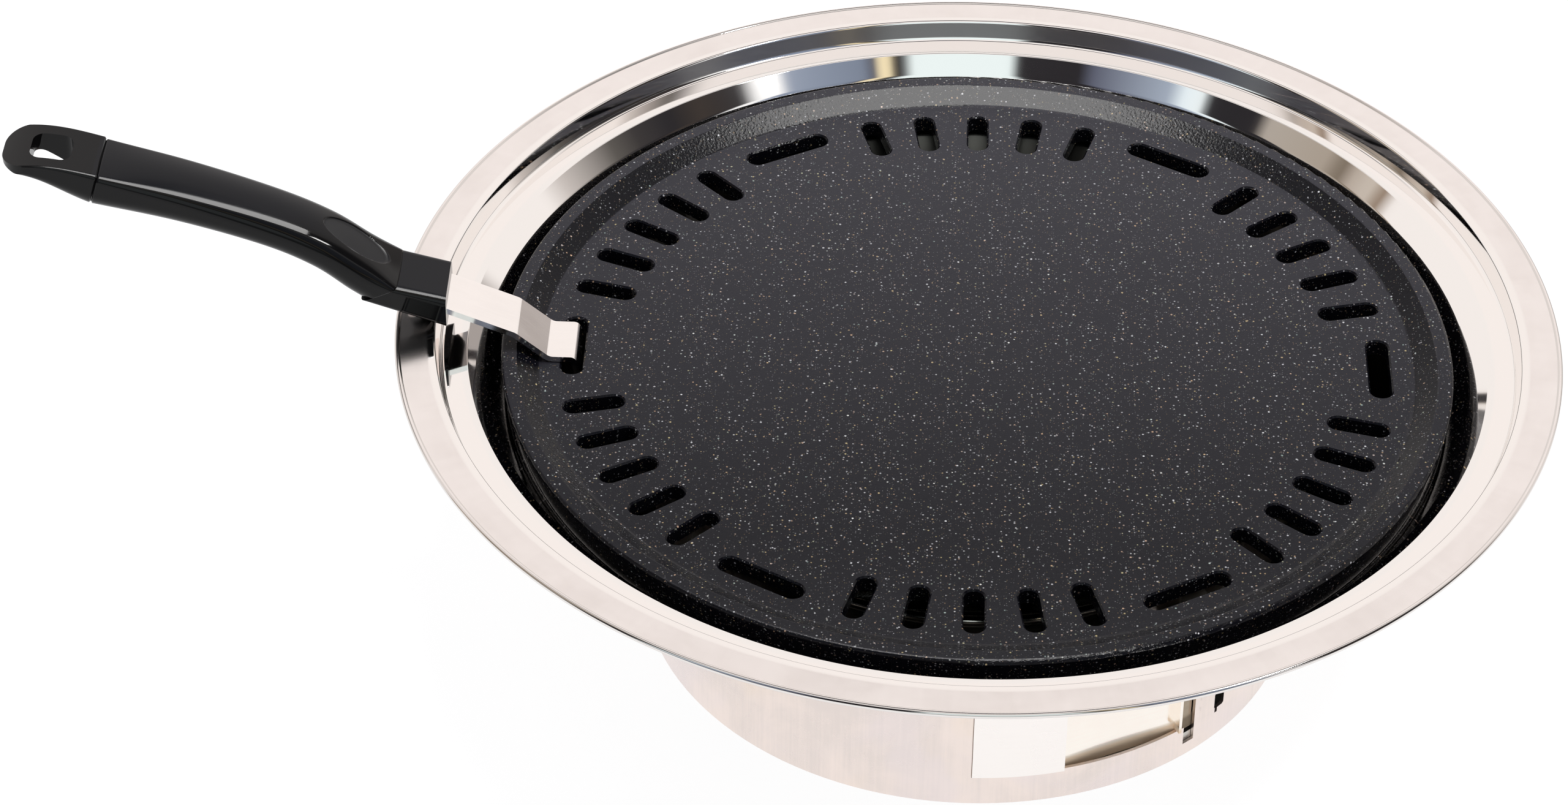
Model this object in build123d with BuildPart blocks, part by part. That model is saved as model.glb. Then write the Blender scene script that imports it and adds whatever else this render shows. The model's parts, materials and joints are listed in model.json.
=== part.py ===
from build123d import *
from math import cos, radians, sin, sqrt, tan
import os

# Tabletop charcoal grill. Millimetres, +Z up. The origin is the centre of the flat
# underside of the drum. The lifting handle points along -X, azimuth 180 degrees.

# Drum: a straight steel wall round a flat pan that stands on the table
drum_radius = 100.6
drum_wall = 1.0
drum_height = 45.0
pan_sheet = 1.2
pan_rim_height = 7.6
fit_gap = 0.1

# Air window in the drum wall, its corner notch and the punched key slot, by azimuth
window_start_azimuth = 286.8
window_end_azimuth = 312.6
window_sill = 11.2
window_headroom = 11.0
window_top = drum_height - window_headroom
notch_start_azimuth = 310.2
notch_drop = 6.6
notch_sill = window_sill - notch_drop
key_azimuth = 318.8
key_width = 4.4
key_drop = 0.3
key_bottom = window_sill - key_drop
key_height = 6.2
key_corner = 1.0
key_tail_width = 1.1
key_tail_length = 1.6
key_tail_offset = 1.3

# Cover plate outside the wall, over the pocket that the air door slides into
cover_start_azimuth = 271.0
cover_sheet = 0.6
cover_below_sill = 0.5
cover_above_window = 3.0
cover_bottom = window_sill - cover_below_sill
cover_top = window_top + cover_above_window

# Air door: a flat plate inside the wall with a bent finger lip and a curved tail, and its two rails
door_end_azimuth = 309.0
door_sheet = 0.9
door_overlap_angle = 0.8
door_wall_gap = 0.3
door_below_sill = 2.0
door_above_window = 1.4
door_bottom = window_sill - door_below_sill
door_top = window_top + door_above_window
door_lip_reach = 2.4
door_lip_end_gap = 0.9
door_tail_angle = 5.0
door_tail_overlap_angle = 0.4
rail_start_azimuth = 263.5
rail_end_azimuth = 309.8
rail_sheet = 0.9
rail_lip_height = 2.4
rail_side_gap = 0.4
rail_end_gap = 0.4

# Heat shield over the pan, on three short spacers
shield_wall_gap = 11.6
shield_radius = drum_radius - drum_wall - shield_wall_gap
shield_sheet = 0.8
shield_rim_height = 2.0
shield_gap = 3.2
spacer_radius = 4.0
spacer_inset = 26.0
spacer_circle = shield_radius - spacer_inset
rivet_radius = 1.6
rivet_head_radius = 3.0
rivet_head_height = 0.9
rivet_head_taper = 12.0

# Ash tray: a shallow dish with a rolled rim
tray_inset = 14.0
tray_flare = 8.0
tray_rim_radius = shield_radius - tray_inset
tray_floor_radius = tray_rim_radius - tray_flare
tray_headroom = 7.1
tray_sheet = 0.8
tray_bead = 1.1
tray_bend = 4.0

# Brackets that carry the fire basin, riveted high on the wall by their upright leg
bracket_count = 3
bracket_azimuth = 90.0
bracket_width = 14.0
bracket_sheet = 1.2
bracket_drop = 21.0
bracket_shelf_top = drum_height - bracket_drop
bracket_leg_rise = 11.0
bracket_reach = 4.9
bracket_bend = 2.4
bracket_rivet_rise = 6.0
bracket_rivet_height = bracket_shelf_top + bracket_rivet_rise

# Fire basin: a tapered steel bowl with holes in its floor and wall
basin_wall_gap = 7.6
basin_flare = 9.5
basin_rim_radius = drum_radius - drum_wall - basin_wall_gap
basin_floor_radius = basin_rim_radius - basin_flare
basin_height = 39.0
basin_sheet = 0.9
basin_bead = 1.7
basin_bend = 6.0
basin_floor_hole = 4.0
basin_floor_circle_shares = (0.0, 0.267, 0.533, 0.776)
basin_floor_counts = (1, 6, 12, 18)
basin_wall_hole = 4.0
basin_wall_hole_count = 18
basin_wall_hole_height = 11.0

# Charcoal grate: round bars across a wire ring, wedged in the basin's taper
grate_wire = 1.6
grate_lift = 8.5
grate_bar_count = 11
grate_wall_gap = 0.4
grate_foot_radius = 2.4
grate_foot_share = 0.59
grate_foot_bar_count = 3

# Top ring: collar, funnel, seat for the plate, mirror cone, ledge, step and flange
ring_sheet = 1.0
collar_gap = 0.6
collar_depth = 8.0
seat_gap = 0.3
shoulder_width = 5.0
funnel_rise = 35.0
funnel_run = 30.4
seat_width = 10.0
wall_rise = 15.4
wall_run = 11.5
ledge_width = 7.8
step_rise = 6.2
step_run = 1.7
flange_width = 11.2
flange_fall = 0.4
seat_height = drum_height + funnel_rise
seat_inner_radius = drum_radius + funnel_run
seat_outer_radius = seat_inner_radius + seat_width
ledge_height = seat_height + wall_rise
ledge_inner_radius = seat_outer_radius + wall_run
ledge_outer_radius = ledge_inner_radius + ledge_width
flange_inner_height = ledge_height + step_rise
flange_inner_radius = ledge_outer_radius + step_run
flange_outer_height = flange_inner_height - flange_fall
flange_outer_radius = flange_inner_radius + flange_width
flange_bead = 0.9
collar_bend = 2.0
seat_bend = 4.0
wall_root_bend = 2.0
ledge_bend = 3.0
step_bend = 3.0

# Grill plate: a cast round plate with a raised rim and a foot that stands on the seat
plate_face_rise = 8.7
plate_thickness = 5.0
plate_rim_rise = 4.1
plate_rim_overhang = 2.0
plate_rim_width = 5.0
plate_rim_slope_run = 6.7
plate_foot_inset = 1.4
plate_foot_width = 5.0
plate_face_height = seat_height + seat_gap + plate_face_rise
plate_rim_height = plate_face_height + plate_rim_rise
plate_rim_outer_radius = seat_outer_radius + plate_rim_overhang
plate_rim_inner_radius = plate_rim_outer_radius - plate_rim_width
plate_flat_radius = plate_rim_inner_radius - plate_rim_slope_run
plate_foot_outer_radius = seat_outer_radius - plate_foot_inset
plate_foot_inner_radius = plate_foot_outer_radius - plate_foot_width
plate_edge_round = 1.1
plate_root_round = 3.0

# Slots through the plate: six groups of five short ones, and six long ones between
group_count = 6
group_first_azimuth = 30.0
short_slots_per_group = 5
short_slot_spacing = 8.04
short_slot_length = 18.2
short_slot_width = 6.0
short_slot_inset = 14.6
short_slot_radius = plate_flat_radius - short_slot_inset
long_slot_length = 27.6
long_slot_width = 6.5
long_slot_inset = 10.25
long_slot_radius = plate_flat_radius - long_slot_inset
slot_edge_chamfer = 0.5

# Hook strap: a bent steel strip from the handle over the rim into the slot at 180 degrees
strap_width = 17.5
strap_sheet = 1.8
strap_bend = 4.0
strap_knee_inset = 4.7
strap_knee_rise = 5.8
strap_knee_radius = plate_rim_outer_radius - strap_knee_inset
strap_knee_height = plate_rim_height + strap_knee_rise
strap_toe_run = 7.4
strap_root_run = 16.5
strap_root_rise = 4.4
tab_bend = 1.2
tab_lean = 12.0
tab_depth = 6.5
tab_slot_gap = 0.7
tab_slit = 1.5

# Handle: the mouth of the neck is its near end, all else is measured from there
mouth_inset = 3.8
mouth_rise = 5.5
mouth_above = 4.4
mouth_below = 5.5
neck_above = 5.3
mouth_radius = flange_inner_radius - mouth_inset
mouth_middle = flange_inner_height + mouth_rise
mouth_top = mouth_middle + mouth_above
mouth_bottom = mouth_middle - mouth_below
neck_top = mouth_middle + neck_above
handle_reach = 129.6
handle_rise = 45.4
grip_width = 21.6
neck_width = 21.2
neck_round = 2.6
neck_inset = 0.2

# Handle stations from the neck's seam to the tip, as shares of its reach and its rise
top_shares = ((0.109, 0.099), (0.173, 0.253), (0.261, 0.443), (0.384, 0.612), (0.583, 0.804),
              (0.776, 0.934), (0.876, 0.998), (0.965, 1.000), (1.000, 0.978))
bottom_shares = ((0.197, -0.018), (0.227, 0.047), (0.304, 0.223), (0.416, 0.378), (0.603, 0.544),
                 (0.802, 0.672), (0.887, 0.827), (0.958, 0.928), (0.997, 0.958))
belly_share = 0.46
edge_shares = (0.16, 0.45, 0.46, 0.42, 0.26, 0.12, 0.10, 0.10, 0.10)
cap_tip_trim = 0.3
seam_chamfer = 0.45
cap_tip_round = 8.6
cap_plug_length = 7.0
cap_plug_width = 12.0
cap_plug_height = 5.0
hang_hole_inset = 14.5
hang_hole_reach = handle_reach - hang_hole_inset
hang_hole_length = 12.0
hang_hole_width = 12.2
hang_hole_corner = 3.4
thumb_reach = 33.8
thumb_rise = 19.5
thumb_lean = 40.0
thumb_length = 25.0
thumb_width = 11.0
thumb_depth = 0.5
tenon_length = 5.0
tenon_width = 12.0
tenon_height = 5.0

# Screw from below that holds the strap in the neck
screw_run = 8.4
screw_radius = 1.5
screw_head_radius = 2.7
screw_head_height = 1.4
screw_below = 5.6
screw_above = 2.8

# Overrun of a cutting shape past the surface that it cuts
overrun = 2.0


def polar_point(radius, azimuth):
    """Point in a horizontal plane at a radius and an azimuth in degrees."""
    return (radius * cos(radians(azimuth)), radius * sin(radians(azimuth)))


def radial_plane(azimuth):
    """Upright plane through the axis: local x runs outward, local y runs up."""
    x, y = polar_point(1.0, azimuth)
    return Plane(origin=(0, 0, 0), x_dir=(x, y, 0), z_dir=(y, -x, 0))


def facing_plane(radius, azimuth, height=0.0):
    """Upright plane across a radius: local x follows rising azimuth, local y runs up."""
    x, y = polar_point(radius, azimuth)
    nx, ny = polar_point(1.0, azimuth)
    return Plane(origin=(x, y, height), x_dir=(-ny, nx, 0), z_dir=(nx, ny, 0))


def handle_point(run, height):
    """Point in the handle's middle plane, run beyond the mouth of its neck."""
    return (-mouth_radius - run, 0, height)


def plane_between(top, bottom):
    """Plane across the handle through two points, its origin at the top one, local y up."""
    return Plane(origin=top, x_dir=(0, -1, 0), z_dir=Vector(0, -1, 0).cross(Vector(*top) - Vector(*bottom)))


def rectangle_points(low_x, low_y, high_x, high_y):
    """Corners of an upright rectangle, first one repeated."""
    return ((low_x, low_y), (high_x, low_y), (high_x, high_y), (low_x, high_y), (low_x, low_y))


def finish(builder, name):
    """Labels a piece and writes it."""
    builder.part.label = name
    export_step(builder.part, f"parts/{name}.step")


os.makedirs("parts", exist_ok=True)

drum_inner_radius = drum_radius - drum_wall
reach = flange_outer_radius + flange_bead
bracket_azimuths = [bracket_azimuth + 360.0 * index / bracket_count for index in range(bracket_count)]

# Drum wall with the air window, its notch and the key slot
with BuildPart() as drum_shell:
    with BuildSketch():
        Circle(drum_radius)
        Circle(drum_inner_radius, mode=Mode.SUBTRACT)
    extrude(amount=drum_height)
    with BuildSketch(Plane.XY.offset(window_sill)):
        with BuildLine():
            Polyline((0, 0), polar_point(reach, window_start_azimuth),
                     polar_point(reach, window_end_azimuth), close=True)
        make_face()
    extrude(amount=window_top - window_sill, mode=Mode.SUBTRACT)
    with BuildSketch(Plane.XY.offset(notch_sill)):
        with BuildLine():
            Polyline((0, 0), polar_point(reach, notch_start_azimuth),
                     polar_point(reach, window_end_azimuth), close=True)
        make_face()
    extrude(amount=window_sill - notch_sill + overrun, mode=Mode.SUBTRACT)
    with BuildSketch(facing_plane(drum_inner_radius - overrun, key_azimuth, key_bottom + key_height / 2)):
        RectangleRounded(key_width, key_height, key_corner)
        with Locations((-key_tail_offset, -(key_height + key_tail_length - key_corner) / 2)):
            Rectangle(key_tail_width, key_tail_length + key_corner)
    extrude(amount=drum_wall + 2 * overrun, mode=Mode.SUBTRACT)
    for azimuth in bracket_azimuths:
        with BuildSketch(facing_plane(drum_inner_radius - overrun, azimuth, bracket_rivet_height)):
            Circle(rivet_radius + fit_gap)
        extrude(amount=drum_wall + 2 * overrun, mode=Mode.SUBTRACT)
finish(drum_shell, "drum_shell")

# Flat pan that closes the drum below
pan_radius = drum_inner_radius - fit_gap
with BuildPart() as base_pan:
    with BuildSketch():
        Circle(pan_radius)
    extrude(amount=pan_rim_height)
    with BuildSketch(Plane.XY.offset(pan_sheet)):
        Circle(pan_radius - pan_sheet)
    extrude(amount=pan_rim_height, mode=Mode.SUBTRACT)
    fillet(base_pan.edges().filter_by(GeomType.CIRCLE).group_by(Axis.Z)[1], radius=pan_sheet)
finish(base_pan, "base_pan")

# Cover plate on the outside of the wall, beside the window
with BuildPart() as pocket_cover:
    with BuildSketch(radial_plane(cover_start_azimuth)):
        with BuildLine():
            Polyline(*rectangle_points(drum_radius, cover_bottom, drum_radius + cover_sheet, cover_top))
        make_face()
    revolve(axis=Axis.Z, revolution_arc=window_start_azimuth - cover_start_azimuth)
finish(pocket_cover, "pocket_cover")

# Air door: the flat plate spans the window as a chord, the tail past the lip follows the wall
door_end_radius = drum_inner_radius - door_wall_gap
door_start_azimuth = window_start_azimuth - door_overlap_angle
door_middle_azimuth = (door_start_azimuth + door_end_azimuth) / 2
door_half_angle = (door_end_azimuth - door_start_azimuth) / 2
door_face_radius = door_end_radius * cos(radians(door_half_angle))
door_half_width = door_end_radius * sin(radians(door_half_angle))
with BuildPart() as air_door:
    with BuildSketch(facing_plane(door_face_radius - door_sheet, door_middle_azimuth)):
        with BuildLine():
            Polyline(*rectangle_points(-door_half_width, door_bottom, door_half_width, door_top))
        make_face()
    extrude(amount=door_sheet)
    with BuildSketch(facing_plane(door_face_radius - door_sheet, door_middle_azimuth)):
        with BuildLine():
            Polyline(*rectangle_points(door_half_width - door_sheet, window_sill + door_lip_end_gap,
                                       door_half_width, window_top - door_lip_end_gap))
        make_face()
    extrude(amount=door_sheet + door_lip_reach + drum_wall)
    with BuildSketch(radial_plane(door_end_azimuth - door_tail_overlap_angle)):
        with BuildLine():
            Polyline(*rectangle_points(door_end_radius - door_sheet, door_bottom, door_end_radius, door_top))
        make_face()
    revolve(axis=Axis.Z, revolution_arc=door_tail_overlap_angle + door_tail_angle)
finish(air_door, "air_door")

# Rails: angle strips inside the wall that the door's lower and upper edges run in
rail_lip_outer = door_face_radius - door_sheet - rail_side_gap
rail_lip_inner = rail_lip_outer - rail_sheet
lower_rail_floor = door_bottom - rail_end_gap
upper_rail_ceiling = door_top + rail_end_gap
rail_profiles = {
    "lower_door_rail": (lower_rail_floor, lower_rail_floor - rail_sheet,
                        lower_rail_floor + rail_lip_height),
    "upper_door_rail": (upper_rail_ceiling, upper_rail_ceiling + rail_sheet,
                        upper_rail_ceiling - rail_lip_height),
}
for rail_name, (web_near, web_far, lip_edge) in rail_profiles.items():
    with BuildPart() as rail:
        with BuildSketch(radial_plane(rail_start_azimuth)):
            with BuildLine():
                Polyline((drum_inner_radius - fit_gap, web_near), (rail_lip_outer, web_near),
                         (rail_lip_outer, lip_edge), (rail_lip_inner, lip_edge),
                         (rail_lip_inner, web_far), (drum_inner_radius - fit_gap, web_far), close=True)
            make_face()
        revolve(axis=Axis.Z, revolution_arc=rail_end_azimuth - rail_start_azimuth)
    finish(rail, rail_name)

# Heat shield, its spacers and the rivets through both
shield_bottom = pan_sheet + shield_gap
with BuildPart() as heat_shield:
    with BuildSketch(Plane.XY.offset(shield_bottom)):
        Circle(shield_radius)
    extrude(amount=shield_rim_height)
    with BuildSketch(Plane.XY.offset(shield_bottom + shield_sheet)):
        Circle(shield_radius - shield_sheet)
    extrude(amount=shield_rim_height, mode=Mode.SUBTRACT)
    with BuildSketch(Plane.XY.offset(shield_bottom)):
        with PolarLocations(spacer_circle, bracket_count, start_angle=bracket_azimuth):
            Circle(rivet_radius + fit_gap)
    extrude(amount=shield_sheet, mode=Mode.SUBTRACT)
finish(heat_shield, "heat_shield")

with BuildPart() as shield_spacers:
    with BuildSketch(Plane.XY.offset(pan_sheet)):
        with PolarLocations(spacer_circle, bracket_count, start_angle=bracket_azimuth):
            Circle(spacer_radius)
            Circle(rivet_radius + fit_gap, mode=Mode.SUBTRACT)
    extrude(amount=shield_gap)
finish(shield_spacers, "shield_spacers")

with BuildPart() as shield_rivets:
    with BuildSketch(Plane.XY.offset(pan_sheet)):
        with PolarLocations(spacer_circle, bracket_count, start_angle=bracket_azimuth):
            Circle(rivet_radius)
    extrude(amount=shield_gap + shield_sheet)
    with BuildSketch(Plane.XY.offset(shield_bottom + shield_sheet)):
        with PolarLocations(spacer_circle, bracket_count, start_angle=bracket_azimuth):
            Circle(rivet_head_radius)
    extrude(amount=rivet_head_height, taper=rivet_head_taper)
finish(shield_rivets, "shield_rivets")

# Ash tray on the shield's rivet heads
tray_bottom = shield_bottom + shield_sheet + rivet_head_height + seat_gap
tray_top = bracket_shelf_top - tray_headroom
with BuildPart() as ash_tray:
    with BuildSketch(Plane.XZ):
        with BuildLine():
            FilletPolyline((0, tray_bottom), (tray_floor_radius, tray_bottom), (tray_rim_radius, tray_top),
                           radius=tray_bend)
            offset(amount=tray_sheet, side=Side.LEFT)
        make_face()
    revolve(axis=Axis.Z)
    with BuildSketch(Plane.XZ):
        with Locations((tray_rim_radius - tray_sheet / 2, tray_top)):
            Circle(tray_bead)
    revolve(axis=Axis.Z)
finish(ash_tray, "ash_tray")

# Brackets for the basin: an upright leg on the wall and a shelf towards the axis
leg_face_radius = sqrt((drum_inner_radius - fit_gap) ** 2 - (bracket_width / 2) ** 2)
leg_middle_radius = leg_face_radius - bracket_sheet / 2
shelf_middle_height = bracket_shelf_top - bracket_sheet / 2
for index, azimuth in enumerate(bracket_azimuths, start=1):
    with BuildPart() as bracket:
        with BuildSketch(radial_plane(azimuth)):
            with BuildLine():
                FilletPolyline((basin_floor_radius - bracket_reach, shelf_middle_height),
                               (leg_middle_radius, shelf_middle_height),
                               (leg_middle_radius, bracket_shelf_top + bracket_leg_rise),
                               radius=bracket_bend)
                offset(amount=bracket_sheet / 2, side=Side.BOTH)
            make_face()
        extrude(amount=bracket_width / 2, both=True)
        with BuildSketch(facing_plane(leg_face_radius - bracket_sheet - overrun, azimuth,
                                      bracket_rivet_height)):
            Circle(rivet_radius + fit_gap)
        extrude(amount=bracket_sheet + 2 * overrun, mode=Mode.SUBTRACT)
    finish(bracket, f"basin_bracket_{index}")

# Rivets through the wall and each bracket's leg
rivet_inner_radius = leg_face_radius - bracket_sheet - rivet_head_height
with BuildPart() as bracket_rivets:
    for azimuth in bracket_azimuths:
        with BuildSketch(facing_plane(rivet_inner_radius, azimuth, bracket_rivet_height)):
            Circle(rivet_head_radius)
        extrude(amount=rivet_head_height)
        with BuildSketch(facing_plane(rivet_inner_radius, azimuth, bracket_rivet_height)):
            Circle(rivet_radius)
        extrude(amount=drum_radius + rivet_head_height - rivet_inner_radius)
        with BuildSketch(facing_plane(drum_radius, azimuth, bracket_rivet_height)):
            Circle(rivet_head_radius)
        extrude(amount=rivet_head_height, taper=rivet_head_taper)
finish(bracket_rivets, "bracket_rivets")

# Fire basin
basin_bottom = bracket_shelf_top + seat_gap
basin_top = basin_bottom + basin_height
basin_slope = (basin_rim_radius - basin_floor_radius) / basin_height
with BuildPart() as fire_basin:
    with BuildSketch(Plane.XZ):
        with BuildLine():
            FilletPolyline((0, basin_bottom), (basin_floor_radius, basin_bottom),
                           (basin_rim_radius, basin_top), radius=basin_bend)
            offset(amount=basin_sheet, side=Side.LEFT)
        make_face()
    revolve(axis=Axis.Z)
    with BuildSketch(Plane.XZ):
        with Locations((basin_rim_radius - basin_sheet / 2, basin_top)):
            Circle(basin_bead)
    revolve(axis=Axis.Z)
    with BuildSketch(Plane.XY.offset(basin_bottom)):
        for circle_share, count in zip(basin_floor_circle_shares, basin_floor_counts):
            with PolarLocations(circle_share * basin_floor_radius, count):
                Circle(basin_floor_hole)
    extrude(amount=basin_sheet, mode=Mode.SUBTRACT)
    for index in range(basin_wall_hole_count):
        azimuth = 360.0 * index / basin_wall_hole_count
        with BuildSketch(facing_plane(basin_floor_radius - basin_bend, azimuth,
                                      basin_bottom + basin_wall_hole_height)):
            Circle(basin_wall_hole)
        extrude(amount=basin_rim_radius - basin_floor_radius + basin_bend, mode=Mode.SUBTRACT)
finish(fire_basin, "fire_basin")

# Charcoal grate: the wire ring bears on the basin's taper, the bars lie over it
grate_height = basin_bottom + grate_lift
grate_seat_radius = basin_floor_radius + (grate_lift - grate_wire) * basin_slope - basin_sheet
grate_ring_radius = grate_seat_radius - grate_wire - grate_wall_gap
bar_pitch = 2 * grate_ring_radius / (grate_bar_count + 1)
with BuildPart() as charcoal_grate:
    with BuildSketch(Plane.XZ):
        with Locations((grate_ring_radius, grate_height)):
            Circle(grate_wire)
    revolve(axis=Axis.Z)
    for index in range(grate_bar_count):
        bar_y = (index - (grate_bar_count - 1) / 2) * bar_pitch
        bar_length = 2 * sqrt(grate_ring_radius ** 2 - bar_y ** 2)
        with BuildSketch(Plane.YZ.offset(-bar_length / 2)):
            with Locations((bar_y, grate_height)):
                Circle(grate_wire)
        extrude(amount=bar_length)
    with BuildSketch(Plane.XY.offset(basin_bottom + basin_sheet + fit_gap)):
        with GridLocations(2 * grate_foot_share * grate_ring_radius,
                           2 * grate_foot_bar_count * bar_pitch, 2, 2):
            Circle(grate_foot_radius)
    extrude(amount=grate_height - basin_bottom - basin_sheet - fit_gap)
finish(charcoal_grate, "charcoal_grate")

# Top ring, drawn along its upper surface from the collar to the flange
collar_radius = drum_inner_radius - collar_gap - ring_sheet
shoulder_height = drum_height + seat_gap + ring_sheet
with BuildPart() as top_ring:
    with BuildSketch(Plane.XZ):
        with BuildLine():
            FilletPolyline((collar_radius, drum_height - collar_depth), (collar_radius, shoulder_height),
                           (collar_radius + shoulder_width, shoulder_height),
                           (seat_inner_radius, seat_height),
                           (seat_outer_radius, seat_height), (ledge_inner_radius, ledge_height),
                           (ledge_outer_radius, ledge_height), (flange_inner_radius, flange_inner_height),
                           (flange_outer_radius, flange_outer_height),
                           radius=(collar_bend, collar_bend, seat_bend, wall_root_bend, ledge_bend,
                                   step_bend, step_bend))
            offset(amount=ring_sheet, side=Side.RIGHT)
        make_face()
    revolve(axis=Axis.Z)
    with BuildSketch(Plane.XZ):
        with Locations((flange_outer_radius, flange_outer_height - ring_sheet / 2)):
            Circle(flange_bead)
    revolve(axis=Axis.Z)
finish(top_ring, "top_ring")

# Grill plate
plate_bottom = plate_face_height - plate_thickness
plate_foot_height = seat_height + seat_gap
with BuildPart() as grill_plate:
    with BuildSketch(Plane.XZ) as plate_profile:
        with BuildLine():
            Polyline((0, plate_face_height), (plate_flat_radius, plate_face_height),
                     (plate_rim_inner_radius, plate_rim_height), (plate_rim_outer_radius, plate_rim_height),
                     (plate_foot_outer_radius, plate_foot_height),
                     (plate_foot_inner_radius, plate_foot_height),
                     (plate_foot_inner_radius, plate_bottom), (0, plate_bottom), close=True)
        make_face()
        fillet(plate_profile.vertices().sort_by(Axis.Y)[-2:], radius=plate_edge_round)
        fillet(plate_profile.vertices().sort_by_distance((plate_flat_radius, plate_face_height))[0],
               radius=plate_root_round)
    revolve(axis=Axis.Z)
    with BuildSketch(Plane.XY.offset(plate_bottom)):
        for group in range(group_count):
            group_azimuth = group_first_azimuth + 360.0 * group / group_count
            slot_start = group_azimuth - short_slot_spacing * (short_slots_per_group - 1) / 2
            slot_range = short_slot_spacing * short_slots_per_group
            with PolarLocations(short_slot_radius, short_slots_per_group, slot_start, slot_range):
                SlotOverall(short_slot_length, short_slot_width)
        with PolarLocations(long_slot_radius, group_count):
            SlotOverall(long_slot_length, long_slot_width, rotation=90)
    extrude(amount=plate_thickness, mode=Mode.SUBTRACT)
    large_faces = grill_plate.faces().filter_by(Plane.XY).sort_by(SortBy.AREA)[-2:]
    cooking_face = large_faces.sort_by(Axis.Z)[-1]
    chamfer(cooking_face.inner_wires().edges(), length=slot_edge_chamfer)
finish(grill_plate, "grill_plate")

# Hook strap, drawn along its middle line from inside the neck to the tab's tip
plate_slot_inner = long_slot_radius - long_slot_width / 2
strap_flat_height = plate_face_height + seat_gap + strap_sheet / 2
tab_half_cut = strap_sheet / 2 / cos(radians(tab_lean))
tab_low_radius = plate_slot_inner + tab_slot_gap + tab_half_cut
tab_top_radius = tab_low_radius + (strap_flat_height - plate_bottom) * tan(radians(tab_lean))
tab_tip_radius = tab_low_radius - tab_depth * tan(radians(tab_lean))
strap_root = (-mouth_radius - strap_root_run, mouth_middle + strap_root_rise)
strap_mouth = (-mouth_radius, mouth_middle)
strap_slope = sqrt(strap_root_run ** 2 + strap_root_rise ** 2)
screw_middle = handle_point(screw_run, mouth_middle + screw_run * strap_root_rise / strap_root_run)
screw_plane = Plane(origin=screw_middle, x_dir=(0, -1, 0),
                    z_dir=(strap_root_rise / strap_slope, 0, strap_root_run / strap_slope))
with BuildPart() as hook_strap:
    with BuildSketch(Plane.XZ):
        with BuildLine():
            FilletPolyline(strap_root, strap_mouth, (-strap_knee_radius, strap_knee_height),
                           (-tab_top_radius - strap_toe_run, strap_flat_height),
                           (-tab_top_radius, strap_flat_height),
                           (-tab_tip_radius, plate_bottom - tab_depth),
                           radius=(strap_bend, strap_bend, strap_bend, tab_bend))
            offset(amount=strap_sheet / 2, side=Side.BOTH)
        make_face()
    extrude(amount=strap_width / 2, both=True)
    with BuildSketch(Plane.XY.offset(plate_bottom - tab_depth - overrun)):
        with Locations((-tab_tip_radius, 0)):
            Rectangle(2 * strap_toe_run, tab_slit)
    extrude(amount=tab_depth + plate_thickness + overrun, mode=Mode.SUBTRACT)
    with BuildSketch(screw_plane.offset(-strap_sheet)):
        Circle(screw_radius + fit_gap)
    extrude(amount=2 * strap_sheet, mode=Mode.SUBTRACT)
finish(hook_strap, "hook_strap")

# Blank of the grip and its cap: flat-topped sections with a round belly
station_tops = [handle_point(run * handle_reach, mouth_top + rise * handle_rise)
                for run, rise in top_shares]
station_bottoms = [handle_point(run * handle_reach, mouth_top + rise * handle_rise)
                   for run, rise in bottom_shares]
station_planes = [plane_between(top, bottom) for top, bottom in zip(station_tops, station_bottoms)]
station_heights = [(Vector(*top) - Vector(*bottom)).length
                   for top, bottom in zip(station_tops, station_bottoms)]
with BuildPart() as handle_blank:
    for plane, height, edge_share in zip(station_planes, station_heights, edge_shares):
        with BuildSketch(plane) as section:
            Rectangle(grip_width, height, align=(Align.CENTER, Align.MAX))
            fillet(section.vertices().group_by(Axis.Y)[0], radius=belly_share * height)
            fillet(section.vertices().group_by(Axis.Y)[-1], radius=edge_share * height)
    loft()

neck_seam = station_planes[0]
cap_seam = station_planes[-4]
cap_axis = Axis(origin=cap_seam.origin, direction=cap_seam.z_dir)

# Grip with its socket for the neck's tenon, its socket for the cap's plug and the thumb rest
tenon_plane = Plane(origin=(Vector(*station_tops[0]) + Vector(*station_bottoms[0])) / 2,
                    x_dir=neck_seam.x_dir, z_dir=neck_seam.z_dir)
plug_plane = Plane(origin=(Vector(*station_tops[-4]) + Vector(*station_bottoms[-4])) / 2,
                   x_dir=cap_seam.x_dir, z_dir=cap_seam.z_dir)
thumb_origin = handle_point(thumb_reach, mouth_top + thumb_rise)
thumb_plane = Plane(origin=thumb_origin, x_dir=(-cos(radians(thumb_lean)), 0, sin(radians(thumb_lean))),
                    z_dir=(sin(radians(thumb_lean)), 0, cos(radians(thumb_lean))))
thumb_drop = Vector(*thumb_plane.z_dir) * -thumb_depth
lowered_blank = handle_blank.part.moved(Location(thumb_drop))
with BuildPart() as thumb_skin:
    with BuildSketch(thumb_plane.offset(-thumb_width / 2)):
        Ellipse(thumb_length / 2, thumb_width / 2)
    extrude(amount=thumb_width)
    add(lowered_blank, mode=Mode.SUBTRACT)
with BuildPart() as handle_grip:
    add(handle_blank.part)
    split(bisect_by=cap_seam, keep=Keep.BOTTOM)
    chamfer(handle_grip.faces().sort_by(cap_axis)[-1].edges(), length=seam_chamfer)
    add(thumb_skin.part, mode=Mode.SUBTRACT)
    with BuildSketch(tenon_plane):
        Rectangle(tenon_width + 2 * fit_gap, tenon_height + 2 * fit_gap)
    extrude(amount=tenon_length + fit_gap, mode=Mode.SUBTRACT)
    with BuildSketch(plug_plane):
        Rectangle(cap_plug_width + 2 * fit_gap, cap_plug_height + 2 * fit_gap)
    extrude(amount=-cap_plug_length - fit_gap, mode=Mode.SUBTRACT)
finish(handle_grip, "handle_grip")

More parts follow.
